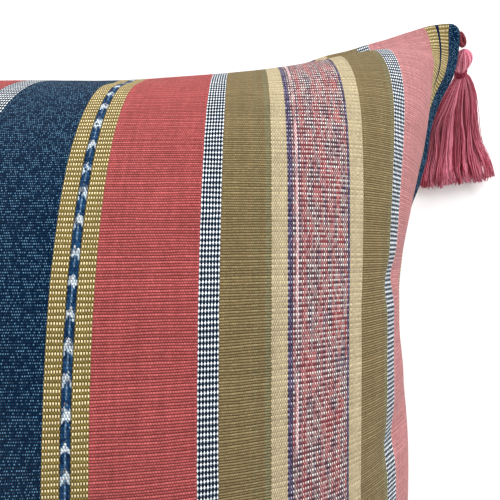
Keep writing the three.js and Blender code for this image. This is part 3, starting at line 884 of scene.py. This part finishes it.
def weaveGroup():
    # plain weave as two sets of oval domes, each on a grid of two warp pitches by two pick
    # pitches, the even set half a step aside and along:
    # dome = (1 - round * (x / reach) ^ 2.5) * (1 - (y / rise) ^ 2)
    sheet, take, give = newGroup(
        "plainWeave",
        {"Across": 0.0, "Along": 0.0, "Warp Pitch": 0.45, "Pick Pitch": 0.93, "Reach": 0.5,
         "Rise": 0.25, "Fill": 0.25, "Round": 1.0, "Over": 1.0},
        ("Height", "Odd", "Cell Tone", "Warp Tone", "Pick Tone"),
    )
    q = sheet.math("DIVIDE", take["Across"], sheet.times(take["Warp Pitch"], 2.0))
    p = sheet.math("DIVIDE", take["Along"], sheet.times(take["Pick Pitch"], 2.0))
    domes, cells = [], []
    for shift, reach, rise in ((0.0, take["Reach"], take["Rise"]), (0.5, 0.5, take["Fill"])):
        column, row = sheet.plus(q, shift), sheet.plus(p, shift)
        x, y = [
            sheet.math("ABSOLUTE", sheet.math("SUBTRACT", sheet.math("FRACT", value), 0.5))
            for value in (column, row)
        ]
        bulgeX = sheet.math("POWER", sheet.math("DIVIDE", x, reach), 2.5)
        bulgeX = sheet.times(bulgeX, take["Round"])
        bulgeY = sheet.math("POWER", sheet.math("DIVIDE", y, rise), 2.0)
        bulgeX, bulgeY = [sheet.math("SUBTRACT", 1.0, v, clamp=True) for v in (bulgeX, bulgeY)]
        domes.append(sheet.times(bulgeX, bulgeY))
        cells.append((sheet.math("FLOOR", column), sheet.math("FLOOR", row), shift))
    odd = sheet.math("GREATER_THAN", domes[0], sheet.times(domes[1], take["Over"]))
    sheet.put(give["Height"], sheet.mixValue(odd, domes[1], domes[0]))
    sheet.put(give["Odd"], odd)
    seeds = {
        "Cell Tone": cells,
        "Warp Tone": [(column, 7.0, shift) for column, row, shift in cells],
        "Pick Tone": [(row, 3.0, shift) for column, row, shift in cells],
    }
    for label, (first, second) in seeds.items():
        first, second = sheet.random(*first), sheet.random(*second)
        sheet.put(give[label], sheet.mixValue(odd, second, first))
    return sheet.tree


plainWeave = weaveGroup()


def stripeMasks(sheet, across):
    # one mask for each kind of stripe, and the distance from the middle of the stripe
    masks, centre, start = {}, 0.0, 0.0
    for kind, width in stripes:
        mask = sheet.math("COMPARE", across, start + width / 2, width / 2)
        centre = sheet.scaled(mask, start + width / 2, centre)
        masks[kind] = sheet.plus(masks[kind], mask) if kind in masks else mask
        start += width
    return masks, sheet.math("SUBTRACT", across, centre)


def dyedThreads(sheet, local, along, cell):
    # lengths of thread dyed red or dark, 10 to 20 mm long, that change from thread to thread
    dye, form = ikatDye, ikatForm
    thread = sheet.math("DIVIDE", local, 2 * threadKinds["ikat"]["warp"])
    thread = sheet.math("FLOOR", thread)
    place = [sheet.times(thread, form["threadStep"]), sheet.times(along, form["lengthStep"]), 2.0]
    dyed = sheet.noise(sheet.vector(*place), 1.0, 2.0, 0.6)
    red = sheet.times(sheet.ramp(dyed, 0.5, 0.62), form["redShare"])
    dark = sheet.ramp(dyed, 0.45, 0.38, 0.0, form["darkShare"])
    single = sheet.math("GREATER_THAN", sheet.random(thread, 11.0), form["singleOver"])
    red = sheet.math("MAXIMUM", red, sheet.times(single, form["singleShare"]))
    orange = sheet.ramp(local, *form["orange"])
    even = sheet.mix(red, dye["even"], sheet.mix(orange, dye["evenRed"], dye["evenOrange"]))
    even = sheet.mix(dark, even, dye["evenDark"])
    # painted shade: the gaps between the domes, darker than the dyed threads
    gap = sheet.mix(red, dye["gap"], dye["redGapShadeAndOval"])
    gap = sheet.mix(dark, gap, dye["darkGapShadeAndOval"])
    # about every other even dome shows as a dark oval, in the colour of the shaded gaps
    oval = sheet.times(sheet.math("GREATER_THAN", cell, 0.5), form["ovalShare"])
    even = sheet.mix(oval, even, gap)
    dot = sheet.mix(sheet.times(red, 0.6), dye["dot"], dye["dotRed"])
    dot = sheet.mix(sheet.times(dark, 0.2), dot, dye["dotDark"])
    dot = sheet.mix(sheet.ramp(cell, 0.55, 0.15, 0.0, 0.8), dot, dye["dotDull"])
    # one pale thread with a dark one beside it, and dark threads along both edges
    broken = sheet.noise(sheet.vector(4.0, along, 4.0), 0.03, 1.0)
    pale = sheet.math("COMPARE", local, *form["pale"])
    pale = sheet.times(pale, sheet.ramp(broken, 0.42, 0.56, 0.0, 0.85))
    beside = sheet.math("COMPARE", local, *form["besidePale"])
    left, right = form["edges"]
    edge = sheet.math("LESS_THAN", local, left)
    edge = sheet.plus(edge, sheet.math("GREATER_THAN", local, right))
    even = sheet.mix(beside, sheet.mix(pale, even, dye["pale"]), dye["besidePale"])
    even = sheet.mix(edge, even, sheet.mix(cell, dye["edge"], dye["edgeLight"]))
    gap = sheet.mix(edge, sheet.mix(pale, gap, dye["paleGapShade"]), dye["edgeGapShade"])
    dot = sheet.mix(edge, dot, sheet.mix(cell, dye["dotEdge"], dye["dotEdgeLight"]))
    return {"odd": dot, "even": even, "gap": gap}


def chainColour(sheet, local, along, weave, inner):
    # a dyed chain in the middle of each inner gold stripe: feathered white arrows on navy, a
    # repeat apart; it is plain in the outer ones
    dye, form, cell = chainDye, chainForm, weave["Cell Tone"]
    away = sheet.math("ABSOLUTE", local)
    beat = sheet.plus(along, sheet.times(away, form["slant"]))
    stray = sheet.noise(sheet.vector(0.0, along, 9.0), 0.09, 1.0)
    beat = sheet.plus(beat, sheet.times(stray, form["stray"]))
    beat = sheet.plus(beat, sheet.times(cell, form["feather"]))
    beat = sheet.math("FRACT", sheet.math("DIVIDE", beat, form["repeat"]))
    arrow = sheet.math("LESS_THAN", beat, form["arrow"])
    arrow = sheet.times(sheet.times(arrow, sheet.ramp(cell, 0.05, 0.45, 0.15, 1.0)), inner)
    spine = sheet.math("LESS_THAN", away, form["spineHalf"])
    spine = sheet.times(spine, sheet.math("GREATER_THAN", beat, form["spineFrom"]))
    rim = sheet.math("GREATER_THAN", away, form["half"] - form["rim"])
    ground = sheet.mix(inner, dye["outerNavy"], dye["innerNavy"])
    colour = sheet.mix(cell, dye["navy"], ground)
    colour = sheet.mix(arrow, colour, sheet.mix(cell, dye["white"], dye["dullWhite"]))
    colour = sheet.mix(sheet.times(spine, sheet.times(inner, 0.45)), colour, dye["spine"])
    colour = sheet.mix(sheet.times(rim, 0.8), colour, dye["rim"])
    # painted shade: the gap colour where the chain's domes are low
    return sheet.mix(sheet.ramp(weave["Height"], 0.4, 0.0, 0.0, 0.6), colour, dye["gap"])


def pickKind(blend, masks, read):
    # what this reads of the kind of stripe that a place is in
    chosen = read("coral")
    for kind, mask in masks.items():
        if kind != "coral":
            chosen = blend(mask, chosen, read(kind))
    return chosen


def threadColours(sheet, masks, weave, local, along):
    # colours of the threads that show, with painted shade in the gaps between them
    def pick(column):
        return pickKind(sheet.mix, masks, lambda kind: shade(*threadKinds[kind][column]))

    dyed = dyedThreads(sheet, local, along, weave["Cell Tone"])
    odd, even, gap = [
        sheet.mix(masks["ikat"], pick(column), dyed[column]) for column in ("odd", "even", "gap")
    ]
    shown = sheet.mix(weave["Odd"], even, odd)
    # pale flecks of weft that show between the blue warp threads
    weft = sheet.ramp(weave["Cell Tone"], 0.2, 0.95)
    weft = sheet.times(weft, sheet.ramp(weave["Height"], 0.66, 0.97))
    weft = sheet.times(sheet.times(weft, masks["blue"]), 0.8)
    shown = sheet.mix(weft, shown, flecks["weft"])
    # a few greenish threads in the outer third of the olive stripes
    green = sheet.math("GREATER_THAN", weave["Warp Tone"], 0.5)
    green = sheet.times(green, sheet.ramp(local, 1.0, 5.0))
    green = sheet.times(sheet.times(green, masks["olive"]), 0.3)
    shown = sheet.mix(green, shown, flecks["green"])
    # painted shade: the gap colour takes over where the domes are low
    return sheet.mix(sheet.ramp(weave["Height"], 0.78, 0.0), shown, gap)


def unevenTone(sheet, weave, fromSeam, along):
    # uneven dyeing: tone of single cells, of threads, of picks and of clouds over the cloth
    cloudy = sheet.noise(sheet.vector(fromSeam, sheet.times(along, 0.35), 1.0), 0.16, 3.0)
    tone = sheet.scaled(weave["Cell Tone"], 0.24, 0.88)
    for value, factor, offset in (
        (weave["Warp Tone"], 0.16, 0.92), (weave["Pick Tone"], 0.2, 0.9), (cloudy, 0.3, 0.85),
    ):
        tone = sheet.times(tone, sheet.scaled(value, factor, offset))
    return sheet.vector(tone, tone, tone)


def clothMaterial():
    material, sheet, shader = newMaterial("stripedCloth", clothLook)
    u, v = pieceCoordinates(sheet)
    side = cushionForm["side"]
    along = sheet.times(v, side)
    fromSeam = sheet.scaled(u, -side, side)
    # hand-thrown threads stray a little
    wander, pickWander = clothWeave["wander"], clothWeave["pickWander"]
    stray = sheet.noise(sheet.vector(fromSeam, along, 0.0), 0.11, 3.0)
    stray = sheet.scaled(stray, 2 * wander, -wander)
    strayAlong = sheet.noise(sheet.vector(sheet.times(fromSeam, 0.3), along, 5.0), 0.14, 3.0)
    strayAlong = sheet.scaled(strayAlong, 2 * pickWander, -pickWander)
    across = sheet.math("SUBTRACT", fromSeam, clothWeave["middleStripe"])
    across = sheet.plus(sheet.math("ABSOLUTE", across), stray)
    along = sheet.plus(along, strayAlong)
    masks, local = stripeMasks(sheet, across)
    columns = {"Warp Pitch": "warp", "Reach": "reach", "Rise": "rise", "Fill": "fill",
               "Round": "round", "Over": "over"}
    numbers = {
        label: pickKind(sheet.mixValue, masks, lambda kind: threadKinds[kind][column])
        for label, column in columns.items()
    }
    places = {"Across": local, "Along": along, "Pick Pitch": clothWeave["pickPitch"]}
    weave = placeGroup(sheet, plainWeave, {**places, **numbers})
    colour = threadColours(sheet, masks, weave, local, along)
    inner = sheet.math("LESS_THAN", across, chainForm["innerTo"])
    thinner = chainForm["thinner"]
    half = sheet.scaled(inner, thinner, chainForm["half"] - thinner)
    inChain = sheet.times(sheet.math("COMPARE", local, 0.0, half), masks["gold"])
    colour = sheet.mix(inChain, colour, chainColour(sheet, local, along, weave, inner))
    tone = unevenTone(sheet, weave, fromSeam, along)
    sheet.put(shader.inputs["Base Color"], sheet.mix(1.0, colour, tone, "MULTIPLY"))
    # the coral stripe with painted sheen also gets less relief
    relief = sheet.scaled(masks["coralPaintedSheen"], -0.6, 1.0)
    addBump(sheet, shader, sheet.times(weave["Height"], relief), **clothBump)
    return material


def yarnGroup():
    # twisted yarn: slanted plies, fine streaks, and a share of light that differs with the tone
    sheet, take, give = newGroup(
        "twistedYarn",
        {"Around": 0.0, "Along": 0.0, "Streak": 0.5, "Tone": 0.5, "Twist": 60.0, "Contrast": 0.4},
        ("Share", "Height"),
    )
    ply = sheet.scaled(take["Along"], take["Twist"], sheet.times(take["Around"], 2.0))
    ply = sheet.math("PINGPONG", ply, 0.5)
    base = sheet.math("SUBTRACT", 0.34, sheet.times(take["Contrast"], 0.5))
    share = sheet.scaled(take["Tone"], take["Contrast"], base)
    share = sheet.scaled(take["Streak"], 0.3, share)
    sheet.put(give["Share"], sheet.scaled(ply, 0.1, share, clamp=True))
    sheet.put(give["Height"], sheet.scaled(take["Streak"], 0.5, ply))
    return sheet.tree


twistedYarn = yarnGroup()

yarnLooks = {
    "tassel": {"name": "tasselYarn", "dark": (158, 8, 44), "light": (255, 162, 186),
               "twist": 60.0, "contrast": 1.3, "roughness": 0.42, "gloss": 0.35},
    "loop": {"name": "loopCord", "dark": (84, 18, 28), "light": (150, 60, 70),
             "twist": 9.0, "contrast": 0.4, "roughness": 0.7, "gloss": 0.3},
    # the binding's darker crimson is its thread colour with painted shade under the head
    "binding": {"name": "bindingThreadPaintedShade", "dark": (118, 14, 44), "light": (172, 48, 82),
                "twist": 60.0, "contrast": 0.4, "roughness": 0.6, "gloss": 0.3},
}
yarnSheen = {"Sheen Weight": 0.15, "Sheen Roughness": 0.35, "Sheen Tint": (1.0, 0.6, 0.7, 1.0)}
yarnBump = {"distance": 0.0003, "strength": 0.5}


def yarnMaterial(look):
    settings = {"Roughness": look["roughness"], "Specular IOR Level": look["gloss"], **yarnSheen}
    material, sheet, shader = newMaterial(look["name"], settings)
    around, along = pieceCoordinates(sheet)
    place = sheet.node("ShaderNodeTexCoord").outputs["Object"]
    yarn = placeGroup(sheet, twistedYarn, {
        "Around": around, "Along": along, "Streak": sheet.noise(place, 900.0, 2.0),
        "Tone": sheet.node("ShaderNodeAttribute", attribute_name="tone").outputs["Fac"],
        "Twist": look["twist"], "Contrast": look["contrast"],
    })
    colour = sheet.mix(yarn["Share"], shade(*look["dark"]), shade(*look["light"]))
    sheet.put(shader.inputs["Base Color"], colour)
    addBump(sheet, shader, yarn["Height"], **yarnBump)
    return material


cushionPiece.data.materials.append(clothMaterial())
for kind, look in yarnLooks.items():
    material = yarnMaterial(look)
    for piece in tasselPieces[kind]:
        piece.data.materials.append(material)
print("materials made")


studio = {
    "floorSize": 8.0,
    "floorDrop": 0.0002,
    "floorLook": {"Base Color": (0.97, 0.97, 0.97, 1.0), "Roughness": 0.9},
    "worldColour": (1.0, 1.0, 1.0, 1.0),
    "worldStrength": 0.52,
    "lightAim": (0.1, 0.1, 0.08),
    "lights": {
        "keyLight": {"place": (0.38, 1.2, 0.82), "power": 23.0, "size": 1.4},
        "fillLight": {"place": (1.2, 0.2, 1.2), "power": 10.0, "size": 1.2},
    },
}


def addLight(name, light, aim):
    data = bpy.data.lights.new(name, "AREA")
    data.energy = light["power"]
    data.size = light["size"]
    lamp = bpy.data.objects.new(name, data)
    lamp.location = light["place"]
    x, y, z = np.array(light["place"]) - np.array(aim)
    lamp.rotation_euler = (math.atan2(math.hypot(x, y), z), 0.0, math.atan2(y, x) + math.pi / 2)
    scene.collection.objects.link(lamp)


def buildStudio(setting):
    half = setting["floorSize"] / 2
    mesh = bpy.data.meshes.new("floor")
    square = [(-half, -half, 0), (half, -half, 0), (half, half, 0), (-half, half, 0)]
    mesh.from_pydata(square, [], [(0, 1, 2, 3)])
    mesh.materials.append(newMaterial("paleFloor", setting["floorLook"])[0])
    floor = bpy.data.objects.new("floor", mesh)
    floor.location.z = -setting["floorDrop"]
    scene.collection.objects.link(floor)
    world = bpy.data.worlds.new("studio")
    world.use_nodes = True
    background = world.node_tree.nodes["Background"]
    background.inputs[0].default_value = setting["worldColour"]
    background.inputs[1].default_value = setting["worldStrength"]
    scene.world = world
    for name, light in setting["lights"].items():
        addLight(name, light, setting["lightAim"])
    print("floor and light set")


buildStudio(studio)
